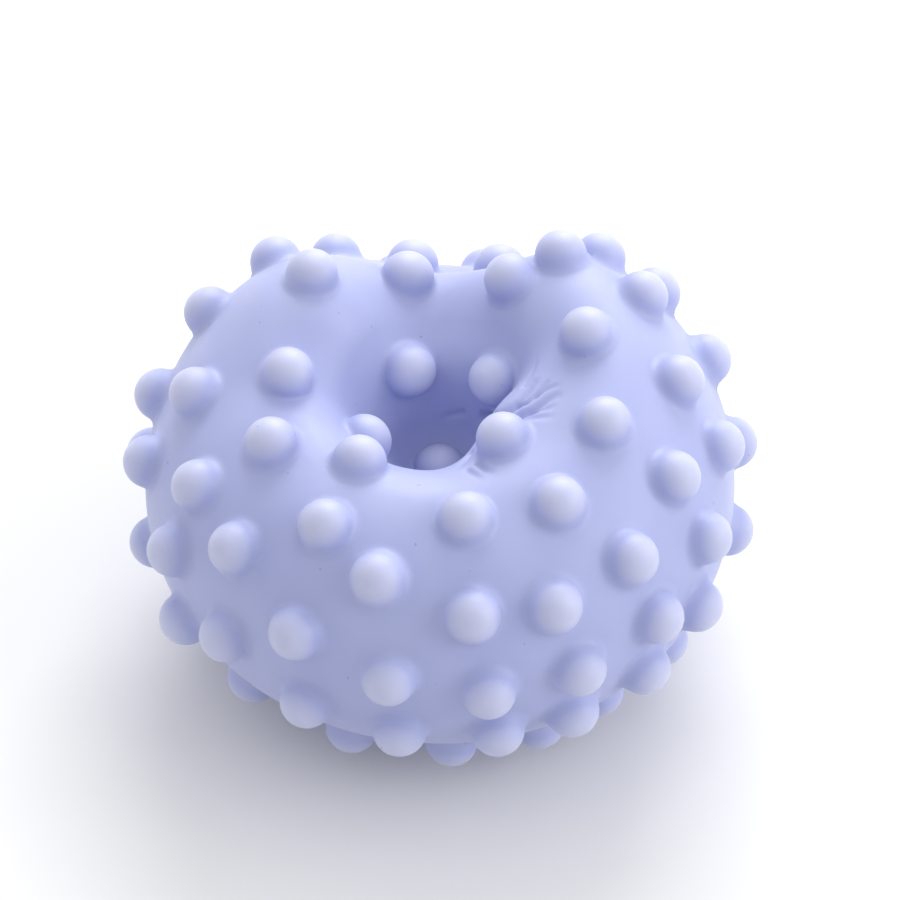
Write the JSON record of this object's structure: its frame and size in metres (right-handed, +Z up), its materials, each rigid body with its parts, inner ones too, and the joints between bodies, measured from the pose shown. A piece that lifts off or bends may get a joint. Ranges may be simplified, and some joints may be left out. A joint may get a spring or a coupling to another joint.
{
  "type": "sensory ball",
  "caption": "Hollow soft vinyl sensory ball covered in round nubs, pressed in at the top, with a squeaker pushed into its underside.",
  "frame": {"origin": "on the surface that the ball stands on, under the middle of the ball", "axes": "+Z up along the press, -Y to the front of the picture, +X to its right"},
  "size_m": [0.0594, 0.0594, 0.0388],
  "materials": {
    "vinyl": "soft satin vinyl, pale periwinkle",
    "squeaker_plastic": "moulded, off-white",
    "reed_film": "thin amber film"
  },
  "bodies": {
    "root": {"ball_shell": "vinyl", "dent_wall": "vinyl", "squeaker_housing": "squeaker_plastic", "reed_bed": "squeaker_plastic", "reed": "reed_film", "reed_wedge": "squeaker_plastic"},
    "crown_body": {"crown": "vinyl"}
  },
  "joints": [
    {"name": "crown_press", "type": "slide", "parent": "root", "child": "crown_body", "axis": [0, 0, 1], "range_m": [0, 0.026], "deforming": ["dent_wall"]}
  ]
}
